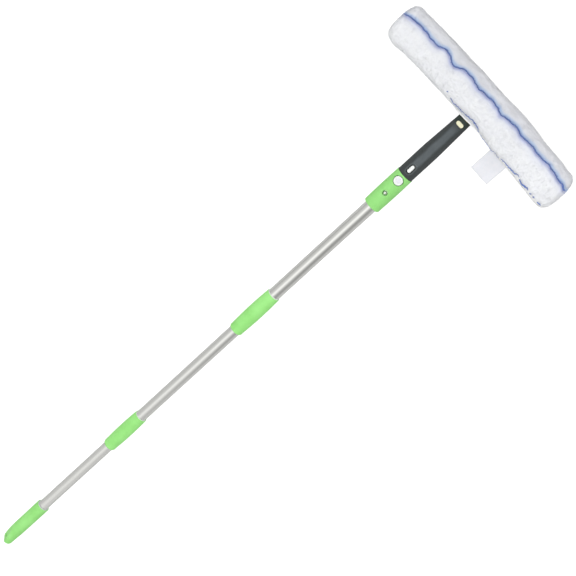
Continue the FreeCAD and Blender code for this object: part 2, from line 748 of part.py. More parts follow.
def make_sleeve():
    """Plush sleeve closed round the bar, open along a slit at the stem, flat where it rests."""
    width = d.sleeve_width / 2
    depth = d.sleeve_depth / 2
    corner = d.sleeve_corner
    corner_bow = corner * QUARTER_BOW_SHARE
    flat_x = width - corner
    flat_z = depth - corner
    body = new_part("sleeve", bar_at)
    section = new_sketch(body, "XZ_Plane")
    outline(section, [(-flat_x, -depth), (flat_x, -depth, corner_bow), (width, -flat_z),
                      (width, flat_z, corner_bow), (flat_x, depth), (-flat_x, depth, corner_bow),
                      (-width, flat_z), (-width, -flat_z, corner_bow)])
    pad(body, section, d.sleeve_length, both_ways=True)
    end = d.sleeve_length.value / 2
    round_edges(body, d.sleeve_end_round,
                lambda edge: all(abs(abs(point.Y) - end) < NEAR for point in edge.Vertexes))
    floor = new_sketch(body, "XZ_Plane")
    rectangle(floor, -width - d.overrun, -depth - d.overrun, width + d.overrun, d.sleeve_flat - depth)
    pocket(body, floor, d.sleeve_length + d.overrun, both_ways=True)
    room = new_sketch(body, "XZ_Plane")
    half_x = d.bar_width / 2 + d.body_clearance
    half_z = d.bar_depth / 2 + d.body_clearance
    rectangle(room, -half_x, -half_z, half_x, half_z)
    pocket(body, room, d.bar_length + d.body_clearance * 2, both_ways=True)
    slit = new_sketch(body, "YZ_Plane", -half_x)
    slot(slit, ZERO, ZERO, d.slit_length, d.slit_height)
    pocket(body, slit, width + d.overrun)

    hem = new_part("sleeve_hem", sleeve_at + d.body_clearance)
    ring = new_sketch(hem, "YZ_Plane")
    gap = d.seat_clearance * 2
    wall = d.hem_wall * 2
    slot(ring, ZERO, ZERO, d.slit_length - gap, d.slit_height - gap)
    pad(hem, ring, bar_at - d.bar_width / 2 - sleeve_at - d.body_clearance * 2)
    mouth = new_sketch(hem, "YZ_Plane")
    slot(mouth, ZERO, ZERO, d.slit_length - gap - wall, d.slit_height - gap - wall)
    pocket(hem, mouth, d.sleeve_width, both_ways=True)


def make_closure_tapes():
    """Hook tape that closes the slit on each side of the stem."""
    inner = d.stem_shoulder_radius + d.body_clearance
    outer = (d.slit_length - d.slit_height) / 2
    for side, name in ((1, "closure_tape_left"), (-1, "closure_tape_right")):
        body = new_part(name, sleeve_at + d.tape_inset, side=(inner + outer) / 2 * side)
        strip = new_sketch(body, "YZ_Plane")
        rectangle(strip, (inner - outer) / 2, -d.tape_width / 2, (outer - inner) / 2, d.tape_width / 2)
        pad(body, strip, d.tape_thickness)


def make_care_label():
    """Blank cloth label sewn at the slit's seam, hanging a little towards the surface."""
    body = new_part("care_label", sleeve_at - d.seat_clearance, side=-d.label_from_axis)
    strip = new_sketch(body, "XZ_Plane")
    drop = d.label_length * d.label_slope_share
    root = d.label_root
    outline(strip, [(0, -root), (0, d.label_thickness - root),
                    (-d.label_length, d.label_thickness - root - drop, d.label_bow),
                    (-d.label_length, -root - drop)])
    pad(body, strip, d.label_width, both_ways=True)


make_end_grip()
make_grip_liner()
make_tubes()
make_collar("lower", lower_collar_at, d.lower_collar_length, d.lower_collar_foot_radius,
            d.lower_collar_top_radius, d.lower_collar_bow, d.lower_tube_radius, d.middle_tube_radius)
make_collar("upper", upper_collar_at, d.upper_collar_length, d.upper_collar_foot_radius,
            d.upper_collar_top_radius, d.upper_collar_bow, d.middle_tube_radius, d.upper_tube_radius)
make_lock("lower", "lower", lower_collar_at + d.tube_overlap, d.lower_tube_radius, d.middle_tube_radius)
make_lock("middle", "upper", upper_collar_at + d.tube_overlap, d.middle_tube_radius, d.upper_tube_radius)
make_head_socket()
make_lock_lever()
make_snap_button()
make_handle()
make_t_bar()
make_sleeve()
make_closure_tapes()
make_care_label()
doc.recompute()

for thing in doc.Objects:
    if "Invalid" in thing.State or "Error" in thing.State:
        raise RuntimeError("%s failed: %s" % (thing.Name, thing.State))
for label, piece in parts.items():
    if piece.Shape.isNull() or not piece.Shape.isValid():
        raise RuntimeError("%s has no valid shape" % label)

os.makedirs("parts", exist_ok=True)
for label, piece in parts.items():
    piece.Shape.exportStep("parts/%s.step" % label)
    print("%-20s %9.1f mm3  %d faces" % (label, piece.Shape.Volume, len(piece.Shape.Faces)))
print("overall %.1f mm long, axis at %.2f mm" % (overall.value, axis_height.value))
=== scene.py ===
import itertools
import math

import bpy
import numpy as np
from mathutils import Matrix, Vector


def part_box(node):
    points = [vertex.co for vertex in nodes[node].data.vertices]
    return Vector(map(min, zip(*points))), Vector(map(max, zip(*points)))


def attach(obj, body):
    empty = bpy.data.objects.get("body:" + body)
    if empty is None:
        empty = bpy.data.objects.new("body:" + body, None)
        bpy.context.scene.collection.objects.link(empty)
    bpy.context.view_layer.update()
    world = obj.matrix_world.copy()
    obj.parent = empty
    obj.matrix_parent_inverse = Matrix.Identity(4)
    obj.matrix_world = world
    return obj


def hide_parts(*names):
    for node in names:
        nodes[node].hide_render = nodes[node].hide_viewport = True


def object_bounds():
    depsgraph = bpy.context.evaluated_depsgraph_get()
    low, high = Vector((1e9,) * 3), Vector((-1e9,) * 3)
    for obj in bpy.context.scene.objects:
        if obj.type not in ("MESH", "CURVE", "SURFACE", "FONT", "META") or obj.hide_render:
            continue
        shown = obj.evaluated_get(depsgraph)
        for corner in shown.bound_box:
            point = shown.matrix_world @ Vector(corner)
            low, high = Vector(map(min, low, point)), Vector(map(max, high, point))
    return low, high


# Window washer on a telescopic pole. X runs along the pole to the head, Y along the bar, Z up, in metres.

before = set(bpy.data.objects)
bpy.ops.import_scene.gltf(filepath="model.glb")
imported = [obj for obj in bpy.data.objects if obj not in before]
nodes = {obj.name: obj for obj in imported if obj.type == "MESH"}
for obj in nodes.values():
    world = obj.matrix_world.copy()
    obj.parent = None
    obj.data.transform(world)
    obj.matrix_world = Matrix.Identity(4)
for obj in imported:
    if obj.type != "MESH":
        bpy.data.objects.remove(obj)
cad_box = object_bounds()
scene = bpy.context.scene
MM = 0.001

sleeve_low, sleeve_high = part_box("sleeve")
handle_low, handle_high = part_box("handle")
label_low, label_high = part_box("care_label")
hem_low, hem_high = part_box("sleeve_hem")
AXIS_Z = (handle_low.z + handle_high.z) / 2
SLEEVE_X = (sleeve_low.x + sleeve_high.x) / 2
SLEEVE_LENGTH = sleeve_high.y - sleeve_low.y

# The stretch along the handle's facet that a painted highlight makes lighter
FACET_START = handle_low.x + 24 * MM
FACET_END = handle_high.x - 12 * MM
FACET_HALF = 5.2 * MM
FACET_FADE = 1.8 * MM
FACET_WANDER = 0.6 * MM
FACET_END_FADE = 14 * MM
# Painted shade on the handle's top end, darker and greenish: how far from the very end it starts, and is full
TOP_SHADE_START = 13 * MM
TOP_SHADE_FULL = 10 * MM
TOP_SHADE_SHARE = 0.8

# The lock lever's oval catch and its round button
CATCH_X = handle_low.x + 15 * MM
CATCH_HALF_LENGTH = 6.7 * MM
CATCH_HALF_WIDTH = 2.8 * MM
CATCH_HALF_RUN = CATCH_HALF_LENGTH - CATCH_HALF_WIDTH
BUTTON_X = handle_low.x - 11.4 * MM
LEVER_MIDDLE = CATCH_X - 9 * MM
# How far from the catch's middle line the painted highlight on the rim of its recess starts and is full, then
# fades and ends
RECESS_HIGHLIGHT_IN = (5.0 * MM, 5.5 * MM)
RECESS_HIGHLIGHT_OUT = (6.1 * MM, 6.7 * MM)
RECESS_HIGHLIGHT_SHARE = 0.35


def srgb(red, green, blue):
    """Linear colour of a screen colour given from 0 to 255."""
    linear = []
    for value in (red, green, blue):
        share = value / 255
        linear.append(share / 12.92 if share <= 0.04045 else ((share + 0.055) / 1.055) ** 2.4)
    return (*linear, 1.0)


class Finish:
    """A material being built: one shader, object coordinates, and nodes that chain into it."""

    # Noise rarely leaves these values, so they are stretched to its whole range
    NOISE_LOW, NOISE_HIGH = 0.3, 0.7

    def __init__(self, name, roughness, metallic=0.0, specular=0.5, sheen=0.0):
        self.material = bpy.data.materials.new(name)
        self.material.use_nodes = True
        self.tree = self.material.node_tree
        self.shader = self.tree.nodes["Principled BSDF"]
        self.shader.inputs["Roughness"].default_value = roughness
        self.shader.inputs["Metallic"].default_value = metallic
        self.shader.inputs["Specular IOR Level"].default_value = specular
        self.shader.inputs["Sheen Weight"].default_value = sheen
        self.coordinates = self.node("ShaderNodeTexCoord")
        self.last_normal = None

    def node(self, kind, **settings):
        made = self.tree.nodes.new(kind)
        for name, value in settings.items():
            setattr(made, name, value)
        return made

    def feed(self, socket, value):
        if isinstance(value, bpy.types.NodeSocket):
            self.tree.links.new(value, socket)
        else:
            socket.default_value = value

    def noise(self, size, detail=2.0, stretch=(1, 1, 1)):
        """Random values from 0 to 1 with grains of about one size, in metres, stretched along the axes."""
        place = self.node("ShaderNodeMapping")
        self.feed(place.inputs["Vector"], self.coordinates.outputs["Object"])
        place.inputs["Scale"].default_value = [1 / (size * value) for value in stretch]
        made = self.node("ShaderNodeTexNoise")
        self.feed(made.inputs["Vector"], place.outputs["Vector"])
        made.inputs["Scale"].default_value = 1.0
        made.inputs["Detail"].default_value = detail
        return made.outputs["Fac"]

    def math(self, kind, first, second=0.0, clamp=False):
        made = self.node("ShaderNodeMath", operation=kind, use_clamp=clamp)
        self.feed(made.inputs[0], first)
        self.feed(made.inputs[1], second)
        return made.outputs[0]

    def spread(self, value, low, high, start=0.0, end=1.0):
        """Map low..high to start..end, held at the ends."""
        made = self.node("ShaderNodeMapRange")
        for index, given in enumerate((value, low, high, start, end)):
            self.feed(made.inputs[index], given)
        return made.outputs["Result"]

    def clouds(self, size, detail=2.0, start=0.0, end=1.0):
        """Noise that fills start..end."""
        return self.spread(self.noise(size, detail), self.NOISE_LOW, self.NOISE_HIGH, start, end)

    def blend(self, share, first, second, kind="MIX"):
        made = self.node("ShaderNodeMix", data_type="RGBA", blend_type=kind)
        self.feed(made.inputs["Factor"], share)
        self.feed(made.inputs[6], first)
        self.feed(made.inputs[7], second)
        return made.outputs[2]

    def object_part(self, name):
        made = self.node("ShaderNodeSeparateXYZ")
        self.feed(made.inputs[0], self.coordinates.outputs["Object"])
        return made.outputs[name]

    def colour(self, value):
        self.feed(self.shader.inputs["Base Color"], value)

    def roughness(self, value):
        self.feed(self.shader.inputs["Roughness"], value)

    def bump(self, height, depth):
        """Relief of a real depth in metres; each one adds to the last."""
        made = self.node("ShaderNodeBump")
        made.inputs["Strength"].default_value = 1.0
        made.inputs["Distance"].default_value = depth
        self.feed(made.inputs["Height"], height)
        if self.last_normal:
            self.feed(made.inputs["Normal"], self.last_normal)
        self.last_normal = made.outputs["Normal"]
        self.feed(self.shader.inputs["Normal"], self.last_normal)


def moulded(name, dark, light, roughness, specular=0.5):
    """Injection-moulded plastic: cloudy colour, faint speckle, fine grain."""
    grain = 0.03 * MM
    finish = Finish(name, roughness, specular=specular)
    clouds = finish.spread(finish.noise(26 * MM, 3.0), 0.35, 0.65)
    speckle = finish.clouds(0.9 * MM, 1.0, 0.0, 0.35)
    finish.colour(finish.blend(finish.math("ADD", clouds, speckle, clamp=True), dark, light))
    finish.roughness(finish.clouds(7 * MM, 3.0, roughness - 0.05, roughness + 0.07))
    finish.bump(finish.noise(0.35 * MM, 2.0), grain)
    return finish


def steel(name, colour, roughness, streak):
    """Drawn steel: fine lines along the tube and a faint waviness."""
    darker = [0.94 * part for part in colour[:3]] + [1]
    waviness = 0.02 * MM
    finish = Finish(name, roughness, metallic=1.0)
    lines = finish.noise(0.5 * MM, 3.0, stretch=(60, 1, 1))
    finish.colour(finish.blend(finish.spread(lines, finish.NOISE_LOW, finish.NOISE_HIGH), darker, colour))
    finish.roughness(finish.spread(lines, finish.NOISE_LOW, finish.NOISE_HIGH, roughness, roughness + 0.08))
    finish.bump(lines, streak)
    finish.bump(finish.noise(18 * MM, 1.0, stretch=(3, 1, 1)), waviness)
    return finish


def woven(name, colour, shade, pitch=0.45 * MM):
    """Plain-woven cloth: two crossing sets of threads and a little mottling."""
    relief = 0.06 * MM
    finish = Finish(name, 0.9, specular=0.2, sheen=0.15)
    threads = []
    for axis in ("X", "Y"):
        position = finish.math("MULTIPLY", finish.object_part(axis), math.tau / pitch)
        threads.append(finish.math("SINE", position))
    finish.colour(finish.blend(finish.clouds(6 * MM, 3.0), shade, colour))
    finish.bump(finish.math("MULTIPLY", threads[0], threads[1]), relief)
    return finish


def handle_finish_painted_light():
    """Dark grey plastic: sparked on the sides and smoother on the facet; painted highlights make the facet and
    the rim round the catch lighter, and painted shade makes the top end darker.
    """
    finish = Finish("handle_grey_painted_light", 0.5, specular=0.4)
    x, y, z = (finish.object_part(axis) for axis in "XYZ")
    wander = finish.clouds(9 * MM, 2.0, -FACET_WANDER, FACET_WANDER)
    beside = finish.math("ADD", finish.math("ABSOLUTE", y), wander)
    across = finish.spread(beside, FACET_HALF - FACET_FADE, FACET_HALF + FACET_FADE)
    faces_down = finish.spread(z, AXIS_Z, AXIS_Z + 4 * MM, 1.0, 0.0)
    before = finish.spread(x, FACET_START - 2 * MM, FACET_START + 1 * MM, 1.0, 0.0)
    after = finish.spread(x, FACET_END - FACET_END_FADE, FACET_END, 0.0, 1.0)
    side = finish.math("MAXIMUM", across, faces_down)
    side = finish.math("MAXIMUM", side, finish.math("MAXIMUM", before, after))
    fine = finish.noise(0.8 * MM, 2.0)
    fine_share = finish.spread(fine, finish.NOISE_LOW, finish.NOISE_HIGH)
    # Painted highlight: the facet's colour is lighter than the flanks', as where the overhead light falls on it
    facet = finish.blend(finish.clouds(14 * MM, 3.0), srgb(77, 84, 88), srgb(85, 92, 96))
    flank = finish.blend(fine_share, srgb(52, 57, 58), srgb(66, 71, 72))
    # Painted shade: the flanks turn darker and greenish towards the top end
    top_end_shade = finish.spread(x, handle_high.x - TOP_SHADE_START, handle_high.x - TOP_SHADE_FULL)
    flank = finish.blend(finish.math("MULTIPLY", top_end_shade, TOP_SHADE_SHARE), flank, srgb(40, 54, 47))
    beyond = finish.math("ABSOLUTE", finish.math("SUBTRACT", x, CATCH_X))
    beyond = finish.math("MAXIMUM", finish.math("SUBTRACT", beyond, CATCH_HALF_RUN), 0.0)
    squares = finish.math("ADD", finish.math("MULTIPLY", beyond, beyond), finish.math("MULTIPLY", y, y))
    apart = finish.math("POWER", squares, 0.5)
    # Painted highlight: a lighter line along the rim of the catch's recess, on its upper side only
    rim = finish.math("MULTIPLY", finish.spread(apart, *RECESS_HIGHLIGHT_IN),
                      finish.spread(apart, *RECESS_HIGHLIGHT_OUT, 1.0, 0.0))
    rim = finish.math("MULTIPLY", rim, finish.spread(z, AXIS_Z + 8 * MM, AXIS_Z + 11 * MM))
    painted = finish.blend(side, facet, flank)
    rim_highlight_share = finish.math("MULTIPLY", rim, RECESS_HIGHLIGHT_SHARE)
    finish.colour(finish.blend(rim_highlight_share, painted, srgb(122, 131, 134)))
    finish.roughness(finish.spread(side, 0.0, 1.0, 0.42, 0.6))
    finish.bump(finish.math("MULTIPLY", fine, side), 0.1 * MM)
    return finish


def pile_finish():
    """Microfibre pile, coloured by the dye, painted shade and painted light that the code gives to every point.
    """
    finish = Finish("pile", 1.0, specular=0.1, sheen=1.0)
    dye_and_painted_light = finish.node("ShaderNodeAttribute", attribute_name="dye_and_painted_light").outputs["Color"]
    shade = finish.blend(finish.clouds(11 * MM, 3.0), srgb(251, 251, 253), (1, 1, 1, 1))
    fine = finish.math("MULTIPLY", finish.clouds(1.6 * MM, 2.0), 0.3)
    shade = finish.blend(fine, shade, srgb(246, 247, 250))
    finish.colour(finish.blend(1.0, dye_and_painted_light, shade, "MULTIPLY"))
    finish.bump(finish.noise(1.1 * MM, 2.0), 0.12 * MM)
    return finish


def socket_finish_painted_shade():
    """A green close to the collars', with painted shade: dark on the spigot, which only shows in the gap round
    the catch.
    """
    finish = moulded("green_socket_painted_shade", srgb(142, 216, 118), srgb(155, 228, 132), 0.46, specular=0.4)
    outside = finish.shader.inputs["Base Color"].links[0].from_socket
    # Painted shade: the spigot, inside the handle's lower end, is coloured dark for the shade in the gap round
    # the catch
    inside = finish.spread(finish.object_part("X"), handle_low.x - 0.4 * MM, handle_low.x + 0.2 * MM)
    finish.colour(finish.blend(inside, outside, srgb(36, 48, 36)))
    return finish


GREEN = moulded("green_plastic_moulded", srgb(148, 226, 122), srgb(162, 238, 138), 0.46, specular=0.4)
WHITE = moulded("white_plastic_moulded", srgb(236, 240, 238), srgb(244, 247, 246), 0.34)
CREAM = moulded("cream_plastic_moulded", srgb(236, 232, 190), srgb(246, 243, 208), 0.4)
INNER = moulded("inner_plastic_moulded", srgb(200, 204, 205), srgb(216, 219, 220), 0.5)
TUBE = steel("tube_steel", (0.84, 0.84, 0.82, 1), 0.14, 0.003 * MM)
FITTING = steel("fitting_steel", (0.8, 0.8, 0.8, 1), 0.2, 0.003 * MM)
DOME = steel("dome_steel", (0.98, 1.0, 0.96, 1), 0.26, 0.002 * MM)
SPRING = steel("spring_steel_blued", (0.5, 0.5, 0.52, 1), 0.28, 0.003 * MM)
GREY_PAINTED_LIGHT = handle_finish_painted_light()
PILE = pile_finish()
TRIM = woven("trim_cloth", srgb(250, 250, 250), srgb(238, 239, 241), 0.9 * MM)
LABEL = woven("label_cloth_woven", srgb(247, 247, 253), srgb(241, 243, 250))
# Painted shade: the grip's liner is white plastic, coloured grey for the shade in the gap at the grip's mouth
SHADED_LINER = moulded("liner_plastic_painted_shade", srgb(204, 207, 208), srgb(216, 219, 220), 0.5)
LILAC = moulded("button_face_moulded", srgb(229, 228, 238), srgb(236, 235, 243), 0.4)
SOCKET_PAINTED_SHADE = socket_finish_painted_shade()

FINISHES = {
    "green_plastic": GREEN, "white_plastic": WHITE, "cream_plastic": CREAM, "inner_plastic": INNER,
    "steel_tube": TUBE, "steel_fittings": FITTING, "spring_steel": SPRING, "grey_plastic": GREY_PAINTED_LIGHT,
    "microfibre": PILE, "fabric_trim": TRIM, "label_cloth": LABEL,
}
OWN_FINISHES = {"head_socket": SOCKET_PAINTED_SHADE, "snap_button": DOME, "grip_liner": SHADED_LINER}
for name, node in nodes.items():
    for place in node.material_slots:
        place.material = OWN_FINISHES.get(name, FINISHES[place.material.name.split(".")[0]]).material


def new_piece(name, places, faces, finish, body="head"):
    """A mesh object of points in metres that rides on a body and takes a finish."""
    mesh = bpy.data.meshes.new(name)
    mesh.from_pydata([tuple(place) for place in np.asarray(places).tolist()], [], faces)
    mesh.polygons.foreach_set("use_smooth", [True] * len(mesh.polygons))
    mesh.materials.append(finish.material)
    piece = bpy.data.objects.new(name, mesh)
    scene.collection.objects.link(piece)
    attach(piece, body)
    return piece


def give_dye_and_painted_light(piece, colours):
    """Give every point of a piece its own colour."""
    layer = piece.data.color_attributes.new("dye_and_painted_light", "FLOAT_COLOR", "POINT")
    layer.data.foreach_set("color", np.asarray(colours, float).ravel())


def tube_faces(rings, count, start=0, closed=False):
    """Faces between rings of points that follow each other, and from the last to the first if it is closed."""
    faces = []
    for ring in range(rings if closed else rings - 1):
        first, second = start + ring * count, start + (ring + 1) % rings * count
        for index in range(count):
            after = (index + 1) % count
            faces.append((first + index, first + after, second + after, second + index))
    return faces


def lumps(places, size, seed):
    """Smooth random values from -1 to 1, with lumps of about one size."""
    table = np.random.default_rng(seed).uniform(-1, 1, (16, 16, 16))
    scaled = places / size
    low = np.floor(scaled).astype(int)
    share = scaled - low
    share = share * share * (3 - 2 * share)
    total = np.zeros(places.shape[:-1])
    for corner in itertools.product((0, 1), repeat=3):
        weight = np.prod(np.where(corner, share, 1 - share), axis=-1)
        index = (low + corner) % 16
        total += weight * table[index[..., 0], index[..., 1], index[..., 2]]
    return total


def lump_vectors(places, size, seed):
    """Smooth random vectors, with lumps of about one size."""
    return np.stack([lumps(places, size, seed + axis) for axis in range(3)], axis=-1)


def unit(vectors):
    return vectors / np.linalg.norm(vectors, axis=-1, keepdims=True)


def smooth_step(value, low, high):
    share = np.clip((value - low) / (high - low), 0, 1)
    return share * share * (3 - 2 * share)


def smooth_route(points, step):
    """Points of a smooth curve through (y, value) pairs, spaced by one step along y."""
    points = np.array(sorted(points), float)
    wanted = np.arange(points[0, 0], points[-1, 0], step)
    slopes = np.gradient(points[:, 1], points[:, 0])
    index = np.clip(np.searchsorted(points[:, 0], wanted, "right") - 1, 0, len(points) - 2)
    width = points[index + 1, 0] - points[index, 0]
    share = (wanted - points[index, 0]) / width
    first, second = points[index, 1], points[index + 1, 1]
    value = (first * (1 + 2 * share) * (1 - share) ** 2 + second * share ** 2 * (3 - 2 * share)
             + slopes[index] * width * share * (1 - share) ** 2
             - slopes[index + 1] * width * share ** 2 * (1 - share))
    return wanted, value


class Sleeve:
    """The plush surface: a soft closed tube along Y with domed ends, as a grid that can be looked up."""

    PILE = 3.0 * MM
    POWER = 3.2
    # Both edges seen from above, as (distance along the bar, distance from the middle) in millimetres: the
    # sleeve lies a little askew, and its lower end is drawn back towards the pole
    NEAR_EDGE = [(-167, -38.8), (-158, -39.5), (-134, -38.7), (-112, -36.5), (-89, -34.5), (-67, -34),
                 (-48, -32), (-30, -31.9), (37, -31.2), (104, -31.7), (134, -32), (156, -35.5), (167, -33.5)]
    FAR_EDGE = [(-167, 26), (-158, 25.4), (-149, 26.8), (-134, 26.9), (-112, 27.9), (-89, 30.3), (-67, 32.6),
                (-48, 32.4), (-30, 31.8), (37, 31.3), (60, 30.2), (104, 31), (134, 29.4), (156, 28.5),
                (167, 28)]
    LOWER_END_EXTRA = 3 * MM
    END_ROUND = 15 * MM
    END_POWER = 2.8
    # Dent of the upper lip in front of the handle, where the hem shows
    DENT = 6.0 * MM
    DENT_Y = -6 * MM
    DENT_SPREAD = 22 * MM
    DENT_REACH = (0.3, 0.8)
    DENT_HEIGHTS = (3 * MM, 11 * MM)
    RIDGE = 12 * MM
    RIDGE_DROP_SHARE = 0.25
    COLUMNS = 176
    ROW_STEP = 1.1 * MM
    CAP_ROWS = 34
    FLOOR = 0.4 * MM
    SLIT_MARGIN = 0.6 * MM
    SLIT_DEPTH = 13 * MM
    # Size, depth and seed of each kind of unevenness
    LUMPS = ((46 * MM, 1.0 * MM, 11), (18 * MM, 0.8 * MM, 12), (7.5 * MM, 0.15 * MM, 13),
             (3.2 * MM, 0.1 * MM, 14))

    def __init__(self):
        self.half_x = (sleeve_high.x - sleeve_low.x) / 2 - self.PILE
        self.half_z = sleeve_high.z - AXIS_Z - self.PILE
        self.high_y = SLEEVE_LENGTH / 2 - self.PILE
        self.low_y = -self.high_y - self.LOWER_END_EXTRA
        self.make_section()
        self.make_rows()
        self.make_grid()

    def make_section(self):
        turn = np.linspace(-math.pi, math.pi, 4001)
        power = 2 / self.POWER
        x = self.half_x * np.sign(np.sin(turn)) * np.abs(np.sin(turn)) ** power
        z = self.half_z * np.sign(np.cos(turn)) * np.abs(np.cos(turn)) ** power
        drop = np.clip(x - self.RIDGE, 0, None) * np.clip(z / self.half_z, 0, 1)
        z = z - self.RIDGE_DROP_SHARE * drop
        length = np.concatenate([[0], np.cumsum(np.hypot(np.diff(x), np.diff(z)))])
        self.section_arc = length - np.interp(0, turn, length)
        self.section_x, self.section_z = x, z
        self.perimeter = length[-1]

    def make_rows(self):
        turn = np.linspace(0, math.pi / 2, self.CAP_ROWS + 1)[1:]
        power = 2 / self.END_POWER
        from_end = self.END_ROUND * (1 - np.cos(turn) ** power)
        share = np.sin(turn) ** power
        low, high = self.low_y + self.END_ROUND, self.high_y - self.END_ROUND
        count = round((high - low) / self.ROW_STEP)
        inside = np.linspace(low, high, count + 1)[1:-1]
        self.row_y = np.concatenate([self.low_y + from_end, inside, (self.high_y - from_end)[::-1]])
        self.row_share = np.concatenate([share, np.ones(len(inside)), share[::-1]])

    def make_grid(self):
        arc = (np.arange(self.COLUMNS) / self.COLUMNS - 0.5) * self.perimeter
        x = np.interp(arc, self.section_arc, self.section_x)
        z = np.interp(arc, self.section_arc, self.section_z)
        rows = len(self.row_y)
        places = np.empty((rows, self.COLUMNS, 3))
        near, far = (np.interp(self.row_y / MM, *smooth_route(edge, 1.0)) * MM
                     for edge in (self.NEAR_EDGE, self.FAR_EDGE))
        centre, widening = SLEEVE_X + (near + far) / 2, (far - near) / 2 / self.half_x
        places[..., 0] = centre[:, None] + (self.row_share * widening)[:, None] * x
        places[..., 1] = self.row_y[:, None]
        places[..., 2] = AXIS_Z + self.row_share[:, None] * z
        outward = self.outward(places)
        for size, depth, seed in self.LUMPS:
            places = places + outward * (lumps(places, size, seed) * depth)[..., None]
        places[..., 0] += self.dent(places)
        places[..., 2] = np.maximum(places[..., 2], self.FLOOR)
        self.slit = self.inside_slit(places)
        places[..., 0] += self.slit * self.SLIT_DEPTH
        self.places = places
        self.normals = self.outward(places)
        self.arc = arc[None, :] * self.row_share[:, None]

    def outward(self, places):
        across = np.roll(places, -1, axis=1) - np.roll(places, 1, axis=1)
        along = np.gradient(places, axis=0)
        normals = unit(np.cross(along, across) + 1e-15)
        centre = np.array([SLEEVE_X, 0, AXIS_Z])
        middle = len(places) // 2
        if np.sum(normals[middle] * (places[middle] - centre)) < 0:
            normals = -normals
        return normals

    def dent(self, places):
        """How far the upper lip of the slit is pressed back in front of the handle."""
        near_side = smooth_step(SLEEVE_X - places[..., 0], *(self.half_x * share for share in self.DENT_REACH))
        upper_side = smooth_step(places[..., 2] - AXIS_Z, *self.DENT_HEIGHTS)
        along = np.exp(-((places[..., 1] - self.DENT_Y) / self.DENT_SPREAD) ** 2)
        return self.DENT * along * near_side * upper_side

    def inside_slit(self, places):
        """1 inside the slit's stadium on the pole's side, 0 outside, with a steep edge."""
        half_height = (hem_high.z - hem_low.z) / 2 + self.SLIT_MARGIN
        half_run = (hem_high.y - hem_low.y) / 2 + self.SLIT_MARGIN - half_height
        along = np.clip(np.abs(places[..., 1]) - half_run, 0, None)
        distance = np.hypot(along, places[..., 2] - AXIS_Z) - half_height
        near_side = places[..., 0] < SLEEVE_X - self.half_x * 0.6
        return near_side * smooth_step(-distance, -0.4 * MM, 0.8 * MM)

    def at(self, y, arc):
        """Place and outward direction at a distance along and round the sleeve."""
        share = np.interp(y, self.row_y, self.row_share)
        row = np.interp(y, self.row_y, np.arange(len(self.row_y)))
        column = (np.asarray(arc) / share / self.perimeter + 0.5) * self.COLUMNS
        row_low = np.clip(np.floor(row).astype(int), 0, len(self.row_y) - 2)
        column_low = np.floor(column).astype(int)
        down, right = (row - row_low)[..., None], (column - column_low)[..., None]
        found = []
        for grid in (self.places, self.normals):
            value = 0
            for row_step, column_step in itertools.product((0, 1), repeat=2):
                weight = (down if row_step else 1 - down) * (right if column_step else 1 - right)
                value = value + weight * grid[row_low + row_step, (column_low + column_step) % self.COLUMNS]
            found.append(value)
        return found[0], unit(found[1])


sleeve = Sleeve()

# The woven stripes as (distance along the bar, distance round the sleeve from its top), in millimetres
MAIN_STRIPE = [(-174, 12.2), (-167, 15.6), (-157, 16.5), (-152, 17.5), (-143, 17.5), (-134, 19.2), (-125, 17.6),
               (-117, 17.5), (-108, 16.5), (-96, 17.4), (-90, 16.5), (-81, 14.6), (-72.5, 13.7), (-64, 15.5),
               (-55, 15.6), (-46, 14.6), (-37, 13.6), (-31, 11.7), (-25, 13.6), (-20, 15.4), (-16, 14.6),
               (-11, 15.6), (-4, 16.4), (1, 15.6), (13, 14.6), (22, 13.6), (28, 14.6), (34, 16.5), (43, 17.5),
               (49, 17.5), (57, 16.2), (65, 12.2), (76, 11.7), (86, 16.5), (96, 17.4), (105, 12.8), (111, 12.4),
               (121, 12.6), (133, 14.6), (143, 15.6), (152, 15.6), (161, 14.5), (169, 12.2), (174, 10.2)]
EDGE_STRIPE = [(-169, -25), (-156, -24), (-146, -24), (-137, -24), (-126, -24.5), (-115, -22), (-109, -23),
               (-98, -25), (-87, -25.8), (-76, -27), (-55, -32), (-35, -33), (-21, -28.5), (-10, -27.8),
               (-1, -27.8), (8, -27.8), (20, -27), (30, -26.5), (40, -22.8), (50, -20.8)]
# Stretches of the edge stripe as (from, to, half the thread's thickness)
EDGE_STRETCHES = [(47, 49.5, 0.9), (8, 40, 0.55), (-28, 8, 0.8), (-76, -30, 0.3), (-118, -78, 0.75),
                  (-141, -120, 1.3), (-149, -144, 0.9), (-157, -152, 0.9), (-169, -162, 0.9)]
STRIPE_STEP = 0.7

main_y, main_round = (values * MM for values in smooth_route(MAIN_STRIPE, STRIPE_STEP))
edge_y, edge_round = (values * MM for values in smooth_route(EDGE_STRIPE, STRIPE_STEP))

WHITE_PILE = np.array(srgb(248, 249, 251))
# Painted shade: the greyer colour of the pile past the main stripe
SHADED_PILE = np.array(srgb(230, 231, 235))
# Painted light: pure white for the pile outside the edge stripe towards the lower end
PAINTED_LIGHT_PILE = np.array(srgb(255, 255, 255))
SKY_HALO = np.array(srgb(172, 200, 238))
LILAC_HALO = np.array(srgb(187, 194, 234))
BLUE_THREAD = np.array(srgb(94, 122, 192))
# How far round from the top the pile's upper side reaches
UPPER_SIDE = -20 * MM
# The halos beside the main stripe: half the line between them, where they start to fade, where each is gone
HALO_LINE = 0.5 * MM
HALO_FULL = 0.8 * MM
SKY_REACH = 8 * MM
LILAC_REACH = 7 * MM
LILAC_TAIL = (5 * MM, 15 * MM)
# How far down the bar the painted light on the pile outside the edge stripe starts, and is full
PAINTED_LIGHT_FROM = (55 * MM, 75 * MM)


